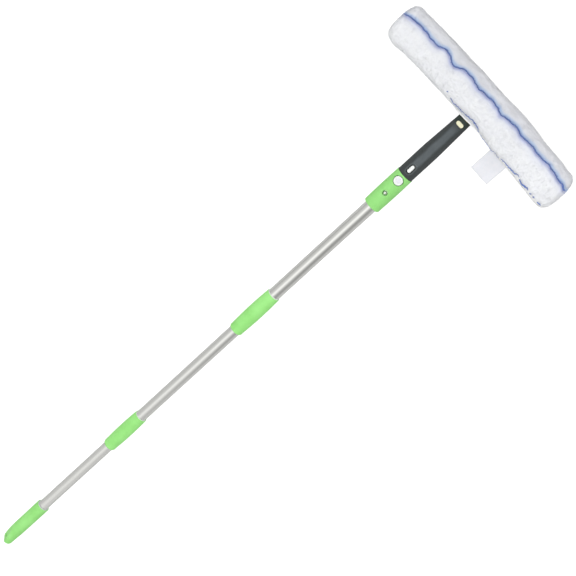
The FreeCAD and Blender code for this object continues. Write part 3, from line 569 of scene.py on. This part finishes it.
def pile_colour(y, arc):
    """Colour of the pile: white, greyer past the main stripe as painted shade, pure white outside the edge
    stripe towards the lower end as painted light, with a dyed halo on each side of the thread.
    """
    from_main = arc - np.interp(y, main_y, main_round)
    past_edge = np.interp(y, edge_y, edge_round) - arc
    upper = arc > UPPER_SIDE
    # Painted shade: past the main stripe, on the upper side, the pile takes the greyer colour
    far = smooth_step(from_main, 0, 2.5 * MM) * upper
    # Painted light: outside the edge stripe, towards the lower end, the pile turns pure white
    outside = smooth_step(past_edge, 0, 2 * MM) * smooth_step(-y, *PAINTED_LIGHT_FROM)
    sky = smooth_step(from_main, -HALO_LINE, HALO_LINE) * upper
    sky = sky * (1 - smooth_step(from_main, HALO_FULL, SKY_REACH))
    lilac = smooth_step(-from_main, -HALO_LINE, HALO_LINE) * upper
    lilac = lilac * (0.8 - 0.65 * smooth_step(-from_main, HALO_FULL, LILAC_REACH)
                     - 0.15 * smooth_step(-from_main, *LILAC_TAIL))
    colour = WHITE_PILE + 0 * from_main[..., None]
    for share, tint in ((far, SHADED_PILE), (outside, PAINTED_LIGHT_PILE), (sky * 0.9, SKY_HALO), (lilac, LILAC_HALO)):
        colour = colour + (tint - colour) * share[..., None]
    return colour


def make_pile():
    """The plush body of the sleeve, closed at both ends."""
    rows, columns = sleeve.places.shape[:2]
    ends = [[SLEEVE_X, y, AXIS_Z] for y in (sleeve.low_y, sleeve.high_y)]
    places = np.vstack([sleeve.places.reshape(-1, 3), ends])
    faces = tube_faces(rows, columns)
    first, last = rows * columns, rows * columns + 1
    for column in range(columns):
        after = (column + 1) % columns
        faces.append((first, after, column))
        faces.append((last, (rows - 1) * columns + column, (rows - 1) * columns + after))
    piece = new_piece("sleeve_pile", places, faces, PILE)
    colours = pile_colour(sleeve.row_y[:, None] + 0 * sleeve.arc, sleeve.arc).reshape(-1, 4)
    give_dye_and_painted_light(piece, np.vstack([colours, WHITE_PILE, WHITE_PILE]))
    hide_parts("sleeve")


FIBRE_FACES = [(0, 1, 4, 3), (1, 2, 5, 4), (2, 0, 3, 5), (3, 4, 6), (4, 5, 6), (5, 3, 6)]
FIBRE_MIDDLE_SHARE = 0.55
FIBRE_FIRST_LEAN = 0.35
FIBRE_SECOND_LEAN = 1.1
FIBRE_TAPER = 0.75
# Crossed with a fibre's direction to find its sides, so hardly any fibre may point along it
FIBRE_CROSS = np.array([0.31, 0.87, 0.39])


def make_fibres(name, roots, normals, leans, lengths, radius, colours):
    """Short bent fibres, each a three-sided spike that starts along its normal and leans over."""
    count = len(roots)
    first = unit(normals + FIBRE_FIRST_LEAN * leans)
    second = unit(normals + FIBRE_SECOND_LEAN * leans)
    middle = roots + first * (lengths * FIBRE_MIDDLE_SHARE)[:, None]
    tip = middle + second * (lengths * (1 - FIBRE_MIDDLE_SHARE))[:, None]
    side = unit(np.cross(first, FIBRE_CROSS))
    other = np.cross(first, side)
    places = np.empty((count, 7, 3))
    for index in range(3):
        angle = index * math.tau / 3
        around = math.cos(angle) * side + math.sin(angle) * other
        places[:, index] = roots + around * radius
        places[:, index + 3] = middle + around * radius * FIBRE_TAPER
    places[:, 6] = tip
    faces = [tuple(number + start for number in face)
             for start in range(0, count * 7, 7) for face in FIBRE_FACES]
    piece = new_piece(name, places.reshape(-1, 3), faces, PILE)
    give_dye_and_painted_light(piece, np.repeat(colours, 7, axis=0))


def fibre_leans(places, random):
    """Sideways directions that agree within a tuft and differ between tufts."""
    tuft_size, tuft_share, spread = 4.5 * MM, 0.4, 0.28
    downwards = np.array([0, 0, -0.12])
    loose = random.normal(0, spread, places.shape)
    return lump_vectors(places, tuft_size, 21) * tuft_share + loose + downwards


def make_fibre_coat():
    """Fibres all over the pile, in four stretches along the bar."""
    fibres_each = 15000
    stretches = 4
    length = 2.7 * MM
    shortest, longest = 0.6, 1.25
    radius = 0.2 * MM
    sunk = 0.2 * MM
    bare_height = 1.5 * MM
    pressed_height, pressed_share = 6 * MM, 0.25
    limits = np.linspace(sleeve.low_y, sleeve.high_y, stretches + 1)
    corner = sleeve.places
    edges_across = np.roll(corner, -1, axis=1) - corner
    edges_along = np.diff(corner, axis=0)
    area = np.linalg.norm(np.cross(edges_across[:-1], edges_along), axis=-1)
    area = area * (sleeve.slit[:-1] < 0.01) * (corner[:-1, :, 2] > bare_height)
    for number in range(stretches):
        low, high = limits[number:number + 2]
        wanted = area * ((sleeve.row_y[:-1] >= low) & (sleeve.row_y[:-1] < high))[:, None]
        random = np.random.default_rng(40 + number)
        chosen = random.choice(wanted.size, fibres_each, p=(wanted / wanted.sum()).ravel())
        rows, columns = np.unravel_index(chosen, wanted.shape)
        down, right = random.uniform(0, 1, (2, fibres_each, 1))
        after = (columns + 1) % sleeve.COLUMNS
        grids = []
        marks = np.stack([0 * sleeve.arc + sleeve.row_y[:, None], sleeve.arc], -1)
        for grid in (sleeve.places, sleeve.normals, marks):
            near = grid[rows, columns] * (1 - right) + grid[rows, after] * right
            far = grid[rows + 1, columns] * (1 - right) + grid[rows + 1, after] * right
            grids.append(near * (1 - down) + far * down)
        places, normals, marks = grids
        normals = unit(normals)
        leans = fibre_leans(places, random)
        lengths = length * random.uniform(shortest, longest, fibres_each)
        lengths = lengths * smooth_step(places[:, 2], 0, pressed_height).clip(pressed_share, 1)
        colours = pile_colour(marks[:, 0], marks[:, 1])
        roots = places - normals * sunk
        make_fibres("pile_fibres_%d" % (number + 1), roots, normals, leans, lengths, radius, colours)


def make_thread(name, along, around, radii, height):
    """A fuzzy yarn on the pile, as thick as its radii say. Returns its middle line and outward directions."""
    sides = 6
    wander, jitter, uneven = 1.0 * MM, 0.6 * MM, 0.35
    wander_size, jitter_size = 4.3 * MM, 1.9 * MM
    places, normals = sleeve.at(along, around)
    centre = places + normals * height
    centre = centre + lump_vectors(places, wander_size, 31) * wander
    centre = centre + lump_vectors(places, jitter_size, 35) * jitter
    radii = radii * (1 + uneven * lumps(places, jitter_size, 34))
    forward = unit(np.gradient(centre, axis=0))
    side = unit(np.cross(forward, normals))
    up = np.cross(side, forward)
    rings = []
    for index in range(sides):
        angle = index * math.tau / sides
        rings.append(centre + (math.cos(angle) * side + math.sin(angle) * up) * radii[:, None])
    points = np.stack(rings, axis=1).reshape(-1, 3)
    count = len(centre)
    faces = [tuple(range(sides))[::-1], tuple(range((count - 1) * sides, count * sides))]
    piece = new_piece(name, points, faces + tube_faces(count, sides), PILE)
    give_dye_and_painted_light(piece, np.tile(BLUE_THREAD, (len(points), 1)))
    return centre, normals


def make_thread_fuzz(name, centre, normals, radius, count, seed):
    """Loose blue fibres that stand out of a yarn."""
    spread, lean, length = 0.45 * MM, 0.7, 2.0 * MM
    random = np.random.default_rng(seed)
    index = random.integers(0, len(centre), count)
    roots = centre[index] + random.normal(0, spread, (count, 3))
    leans = random.normal(0, lean, (count, 3))
    lengths = length * random.uniform(0.5, 1.2, count)
    make_fibres(name, roots, normals[index], leans, lengths, radius, np.tile(BLUE_THREAD, (count, 1)))


def make_stripes():
    """The blue stripes: a continuous yarn on top, and a broken one along the edge."""
    height = 1.9 * MM
    fuzz_radius = 0.16 * MM
    main_fuzz, edge_fuzz = 8000, 420
    # The main yarn swells towards its lower end
    radii = 0.95 + 0.8 * smooth_step(-main_y, 155 * MM, 172 * MM)
    centre, normals = make_thread("main_stripe", main_y, main_round, radii * MM, height)
    make_thread_fuzz("main_stripe_fuzz", centre, normals, fuzz_radius, main_fuzz, 51)
    centres, directions = [], []
    for number, (low, high, radius) in enumerate(EDGE_STRETCHES):
        inside = (edge_y >= low * MM) & (edge_y <= high * MM)
        along, around = edge_y[inside], edge_round[inside]
        radii = radius * MM * np.sqrt(np.sin(np.linspace(0.2, math.pi - 0.2, len(along))))
        centre, normals = make_thread("edge_stripe_%d" % (number + 1), along, around, radii, height)
        centres.append(centre)
        directions.append(normals)
    make_thread_fuzz("edge_stripe_fuzz", np.vstack(centres), np.vstack(directions), fuzz_radius, edge_fuzz, 52)


def stadium(half_run, radius, count):
    """Points and outward directions round a stadium whose straight sides run along the first of two axes."""
    straight = 2 * half_run
    total = 2 * straight + math.tau * radius
    points, directions = [], []
    for place in np.linspace(0, total, count, endpoint=False):
        if place < straight:
            points.append((place - half_run, radius))
            directions.append((0, 1))
        elif place < straight + math.pi * radius:
            angle = math.pi / 2 - (place - straight) / radius
            directions.append((math.cos(angle), math.sin(angle)))
            points.append((half_run + radius * math.cos(angle), radius * math.sin(angle)))
        elif place < 2 * straight + math.pi * radius:
            points.append((half_run - (place - straight - math.pi * radius), -radius))
            directions.append((0, -1))
        else:
            angle = -math.pi / 2 - (place - 2 * straight - math.pi * radius) / radius
            directions.append((math.cos(angle), math.sin(angle)))
            points.append((-half_run + radius * math.cos(angle), radius * math.sin(angle)))
    return np.array(points), np.array(directions)


def make_hem():
    """Rolled cloth hem round the slit, standing a little proud beside the stem."""
    count = 260
    radius = (hem_high.z - hem_low.z) / 2
    half_run = (hem_high.y - hem_low.y) / 2 - radius
    points, directions = stadium(half_run, radius, count)
    back, face = hem_high.x, sleeve_low.x + 4.1 * MM
    # The cloth's unevenness as (height in millimetres, turn from point to point, start)
    waves = [(0.25, 0.9, 0), (0.2, 0.37, 1)]
    # The roll's section as (distance outwards from the slit's edge, distance in front of the sleeve)
    roll = [(-1.5, 0.0), (-1.45, 1.2), (-0.9, 2.2), (0.1, 2.5), (1.1, 2.1), (1.6, 1.1), (1.4, 0.1), (0.6, -0.4)]
    bulge, bulge_y, bulge_spread = 1.2 * MM, 12 * MM, 20 * MM
    rows = [(-1.5, None)] + roll + [(-0.1, None)]
    grid = []
    for index in range(count):
        y, z = points[index]
        bulged = face - bulge * math.exp(-((y - bulge_y) / bulge_spread) ** 2)
        wave = sum(height * math.sin(index * turn + start) for height, turn, start in waves)
        for outwards, forwards in rows:
            shift = (outwards + wave * 0.5) * MM
            x = back if forwards is None else bulged - forwards * MM - 0.3 * wave * MM
            grid.append((x, y + directions[index][0] * shift, AXIS_Z + z + directions[index][1] * shift))
    piece = new_piece("slit_hem", grid, tube_faces(count, len(rows), closed=True), TRIM)
    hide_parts("sleeve_hem")


def make_label():
    """Blank woven label, sewn in at the seam, a little curled."""
    columns, rows = 25, 29
    curl_height, dip_depth = 1.6 * MM, 0.5 * MM
    width = label_high.y - label_low.y
    length = label_high.x - label_low.x
    tucked = 2 * MM
    centre_y = (label_low.y + label_high.y) / 2
    top, bottom = label_high.z - 0.3 * MM, label_low.z + 0.3 * MM
    grid = []
    for row in range(rows):
        share = row / (rows - 1)
        for column in range(columns):
            across = column / (columns - 1) - 0.5
            x = label_high.x + tucked - share * (length + tucked)
            curl = curl_height * share * share * math.cos(across * 5 + 0.6)
            dip = dip_depth * math.sin(across * 9 + share * 4)
            z = top + (bottom - top) * share ** 1.15 + curl + dip * share
            grid.append((x, centre_y + across * width, z))
    faces = [(row * columns + column, row * columns + column + 1,
              (row + 1) * columns + column + 1, (row + 1) * columns + column)
             for row in range(rows - 1) for column in range(columns - 1)]
    piece = new_piece("blank_label", grid, faces, LABEL)
    thick = piece.modifiers.new("thickness", "SOLIDIFY")
    thick.thickness = 0.3 * MM
    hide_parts("care_label")


def make_hook_tapes():
    """Hook tape on each side of the stem: a thin strip with rows of tiny hooks."""
    pitch = 1.25 * MM
    wire = 0.13 * MM
    strip_front, hook_root, sideways_share = 0.6 * MM, 0.75, 0.7
    # A hook's bends as (distance in front of its root, distance sideways) in millimetres
    hook = [(0, 0), (0.9, 0.05), (1.15, 0.4), (0.85, 0.62)]
    strip_faces = [(0, 1, 3, 2), (4, 6, 7, 5), (0, 4, 5, 1), (2, 3, 7, 6), (0, 2, 6, 4), (1, 5, 7, 3)]
    for name in ("closure_tape_left", "closure_tape_right"):
        low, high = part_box(name)
        corners = ((low.x + strip_front, low.y, low.z), high)
        places = [[corners[end][axis] for axis, end in enumerate(corner)]
                  for corner in itertools.product((0, 1), repeat=3)]
        faces = list(strip_faces)
        for y in np.arange(low.y + pitch / 2, high.y, pitch):
            for z in np.arange(low.z + pitch / 2, high.z, pitch):
                start = len(places)
                for forwards, sideways in hook:
                    for corner_y, corner_z in ((-1, -1), (1, -1), (1, 1), (-1, 1)):
                        places.append((low.x + (hook_root - forwards) * MM, y + corner_y * wire,
                                       z + sideways * MM * sideways_share + corner_z * wire))
                faces += tube_faces(len(hook), 4, start)
                faces.append(tuple(start + len(hook) * 4 - 4 + index for index in range(4)))
        piece = new_piece(name.replace("closure", "hook"), places, faces, TRIM)
        piece.data.polygons.foreach_set("use_smooth", [False] * len(piece.data.polygons))
        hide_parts(name)


def turned(name, profile, x, finish, body):
    """A closed piece turned about an upright axis over the pole from (radius, height) pairs, top last."""
    count = 96
    places = []
    for radius, height in profile:
        for index in range(count):
            angle = index * math.tau / count
            places.append((x + radius * math.cos(angle), radius * math.sin(angle), height))
    faces = tube_faces(len(profile), count)
    faces += [tuple(range(count))[::-1], tuple(range((len(profile) - 1) * count, len(profile) * count))]
    return new_piece(name, places, faces, finish, body)


# The button's rim and its disc, as (distance outwards from the button's edge, height above its top), and the
# edge of the catch in the same way, in millimetres
BUTTON_RIM = [(0, -3), (0, -0.75), (-0.15, -0.25), (-0.55, 0), (-2.3, 0.02), (-2.8, -0.12), (-3.1, -0.45),
              (-3.4, -0.6)]
BUTTON_DISC = [(-3.2, -1.2), (-3.2, -0.5), (-3.5, -0.42), (-5, -0.36)]
CATCH_EDGE = [(0, -6), (0, -1.0), (-0.12, -0.5), (-0.45, -0.14), (-0.95, 0), (-1.8, 0.03)]


def make_lock_lever():
    """The lever's moulding with a catch whose edge is rounded and a dished button with a rim."""
    catch_depth, button_depth = 4 * MM, 2 * MM
    catch_share, catch_sunk, button_sunk = 0.8, 0.5 * MM, 1.4 * MM
    node = nodes["lock_lever"].data
    low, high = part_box("lock_lever")
    top = high.z
    places = np.array([vertex.co[:] for vertex in node.vertices])
    # The moulding's own catch shrinks and its button is lowered, to lie inside the finer ones
    catch = (places[:, 0] > LEVER_MIDDLE) & (places[:, 2] > top - catch_depth)
    places[catch] = ((places[catch] - (CATCH_X, 0, 0)) * (catch_share, catch_share, 1)
                     + (CATCH_X, 0, -catch_sunk))
    button = (places[:, 0] < LEVER_MIDDLE) & (places[:, 2] > top - button_depth)
    places[button, 2] = top - button_sunk
    faces = [tuple(face.vertices) for face in node.polygons]
    body = new_piece("lock_lever_body", places, faces, WHITE, "lock_lever")
    body.data.polygons.foreach_set("use_smooth", [False] * len(faces))
    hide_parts("lock_lever")
    radius = (high.y - low.y) / 2
    rim, disc = ([(radius + out * MM, top + height * MM) for out, height in shape]
                 for shape in (BUTTON_RIM, BUTTON_DISC))
    disc.append((1 * MM, top - 0.33 * MM))
    turned("button_rim", rim, BUTTON_X, WHITE, "lock_lever")
    turned("button_disc", disc, BUTTON_X, LILAC, "lock_lever")
    make_catch()


def make_socket():
    """The socket's own mesh with the snap button's hole cut clear: the seam's triangles cross it there."""
    hole_radius = 4.42 * MM
    cut_from, cut_to = AXIS_Z + 10 * MM, AXIS_Z + 18 * MM
    low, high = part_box("snap_button")
    shell = bpy.data.objects.new("socket_shell", nodes["head_socket"].data.copy())
    scene.collection.objects.link(shell)
    profile = [(hole_radius, cut_from), (hole_radius, cut_to)]
    cutter = turned("cutter", profile, (low.x + high.x) / 2, WHITE, "head")
    cut = shell.modifiers.new("hole", "BOOLEAN")
    cut.operation, cut.solver, cut.object = "DIFFERENCE", "EXACT", cutter
    bpy.context.view_layer.update()
    cleared = bpy.data.meshes.new_from_object(shell.evaluated_get(bpy.context.evaluated_depsgraph_get()))
    shell.modifiers.clear()
    shell.data = cleared
    bpy.data.objects.remove(cutter)
    shell.data.materials.clear()
    shell.data.materials.append(SOCKET_PAINTED_SHADE.material)
    shell.data.polygons.foreach_set("use_smooth", [True] * len(shell.data.polygons))
    shell.data.set_sharp_from_angle(angle=math.radians(30))
    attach(shell, "head")
    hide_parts("head_socket")


def make_catch():
    """Oval catch with a rounded edge."""
    count = 96
    below_handle = 0.45 * MM
    top = handle_high.z - below_handle
    points, directions = stadium(CATCH_HALF_RUN, CATCH_HALF_WIDTH, count)
    grid = [(CATCH_X + x + run * out * MM, y + side * out * MM, top + height * MM)
            for out, height in CATCH_EDGE for (x, y), (run, side) in zip(points, directions)]
    last = len(CATCH_EDGE) - 1
    faces = tube_faces(len(CATCH_EDGE), count)
    faces += [tuple(range(count)), tuple(range(last * count, (last + 1) * count))]
    new_piece("catch_cap", grid, faces, WHITE, "lock_lever")


# The floor's own light, which only the camera sees
FLOOR_GLOW = 0.8


def make_floor():
    """Plain pale floor, large enough to reach behind every view, almost free of shadows."""
    half = 14
    corners = [(-half, -half, 0), (half, -half, 0), (half, half, 0), (-half, half, 0)]
    mesh = bpy.data.meshes.new("floor")
    mesh.from_pydata(corners, [], [(0, 1, 2, 3)])
    finish = Finish("floor_white", 0.85, specular=0.0)
    finish.colour(finish.blend(finish.noise(0.6, 2.0), srgb(202, 202, 202), srgb(205, 205, 205)))
    finish.feed(finish.shader.inputs["Emission Color"], srgb(255, 255, 255))
    camera_ray = finish.node("ShaderNodeLightPath").outputs["Is Camera Ray"]
    finish.feed(finish.shader.inputs["Emission Strength"], finish.math("MULTIPLY", camera_ray, FLOOR_GLOW))
    mesh.materials.append(finish.material)
    floor = bpy.data.objects.new("floor", mesh)
    scene.collection.objects.link(floor)


# Brightness of the studio against how far a direction points along Y, from -1 to 1: as the tubes near the head
# show it, and as those near the grip do. Which of the two holds depends on how far a direction points along X
BRIGHTEST = 1.3
NEAR_WALLS = [(-1.0, 0.6), (-0.925, 0.48), (-0.8, 0.35), (-0.62, 0.39), (-0.37, 0.64), (-0.11, 1.1),
              (0.17, 1.2), (0.42, 0.9), (0.66, 0.67), (0.84, 0.62), (0.93, 0.47), (1.0, 0.6)]
FAR_WALLS = [(-1.0, 0.75), (-0.6, 0.76), (-0.25, 0.86), (0.1, 0.87), (0.4, 0.78), (0.7, 0.66), (1.0, 0.64)]
FAR_X, NEAR_X = -0.6, -0.4
BLUE_SHARE = 0.985


def make_world():
    """Studio walls: bright overhead, with darker bands lengthways, as the polished tubes show them."""
    world = bpy.data.worlds.new("studio")
    scene.world = world
    world.use_nodes = True
    tree = world.node_tree
    tree.nodes.clear()
    link = tree.links.new
    parts = tree.nodes.new("ShaderNodeSeparateXYZ")
    link(tree.nodes.new("ShaderNodeTexCoord").outputs["Generated"], parts.inputs[0])
    scale = tree.nodes.new("ShaderNodeMapRange")
    scale.inputs["From Min"].default_value = -1.0
    link(parts.outputs["Y"], scale.inputs["Value"])
    nearness = tree.nodes.new("ShaderNodeMapRange")
    nearness.inputs["From Min"].default_value = FAR_X
    nearness.inputs["From Max"].default_value = NEAR_X
    link(parts.outputs["X"], nearness.inputs["Value"])
    mix = tree.nodes.new("ShaderNodeMix")
    mix.data_type = "RGBA"
    link(nearness.outputs["Result"], mix.inputs["Factor"])
    for socket, stops in ((mix.inputs[6], FAR_WALLS), (mix.inputs[7], NEAR_WALLS)):
        ramp = tree.nodes.new("ShaderNodeValToRGB")
        link(scale.outputs["Result"], ramp.inputs["Fac"])
        link(ramp.outputs["Color"], socket)
        elements = ramp.color_ramp.elements
        for place, brightness in stops:
            level = brightness / BRIGHTEST
            if abs(place) == 1:
                element = elements[0 if place < 0 else -1]
            else:
                element = elements.new((place + 1) / 2)
            element.color = (level, level, level * BLUE_SHARE, 1)
    walls = tree.nodes.new("ShaderNodeBackground")
    walls.inputs["Strength"].default_value = BRIGHTEST
    link(mix.outputs[2], walls.inputs["Color"])
    plain = tree.nodes.new("ShaderNodeBackground")
    plain.inputs["Color"].default_value = (1, 1, 1, 1)
    pick = tree.nodes.new("ShaderNodeMixShader")
    link(tree.nodes.new("ShaderNodeLightPath").outputs["Is Camera Ray"], pick.inputs[0])
    link(walls.outputs[0], pick.inputs[1])
    link(plain.outputs[0], pick.inputs[2])
    link(pick.outputs[0], tree.nodes.new("ShaderNodeOutputWorld").inputs[0])


# Name, place, what it points at, width and depth in metres, power in watts
LIGHTS = [
    ("overhead", (0.35, 0.1, 2.6), (0.35, 0.1, 0), 2.2, 3.0, 16),
    ("beyond_head", (2.6, 0.0, 1.3), (0.5, 0.0, 0), 2.6, 1.6, 14),
    ("beside_grip", (-0.5, -0.9, 0.5), (-0.5, 0.0, 0.02), 0.7, 0.5, 0.35),
    ("beside_head", (0.05, -0.8, 0.45), (0.56, -0.08, 0.02), 1.2, 0.5, 0.9),
]


def make_light(name, place, aim, width, depth, power):
    """A soft panel that lights the part but doesn't show in its polished tubes."""
    light = bpy.data.lights.new(name, "AREA")
    light.shape = "RECTANGLE"
    light.size, light.size_y = width, depth
    light.energy = power
    lamp = bpy.data.objects.new(name, light)
    scene.collection.objects.link(lamp)
    lamp.visible_glossy = False
    back = Vector(place) - Vector(aim)
    lamp.matrix_world = Matrix.Translation(place) @ back.to_track_quat("Z", "Y").to_matrix().to_4x4()


def make_camera():
    """Looks down at the pole from beyond its head end, with the pole running up to the right."""
    tilt = math.radians(22)
    roll = math.radians(42.35)
    from_grip, aside = 0.75775, -0.0076
    aim = Vector((cad_box[0][0] + from_grip, aside, AXIS_Z))
    distance = 1.95
    forward = Vector((-math.sin(tilt), 0, -math.cos(tilt)))
    along = Vector((math.cos(tilt), 0, -math.sin(tilt)))
    across = Vector((0, 1, 0))
    right = math.cos(roll) * along - math.sin(roll) * across
    up = math.sin(roll) * along + math.cos(roll) * across
    data = bpy.data.cameras.new("camera")
    data.sensor_width = 36
    data.lens = 75
    camera = bpy.data.objects.new("camera", data)
    scene.collection.objects.link(camera)
    axes = Matrix((right, up, -forward)).transposed().to_4x4()
    camera.matrix_world = Matrix.Translation(aim - forward * distance) @ axes
    bpy.context.scene.camera = camera


make_pile()
make_fibre_coat()
make_stripes()
make_hem()
make_label()
make_hook_tapes()
make_lock_lever()
make_socket()

make_floor()
make_world()
for light in LIGHTS:
    make_light(*light)
make_camera()
scene.view_settings.view_transform = "Standard"
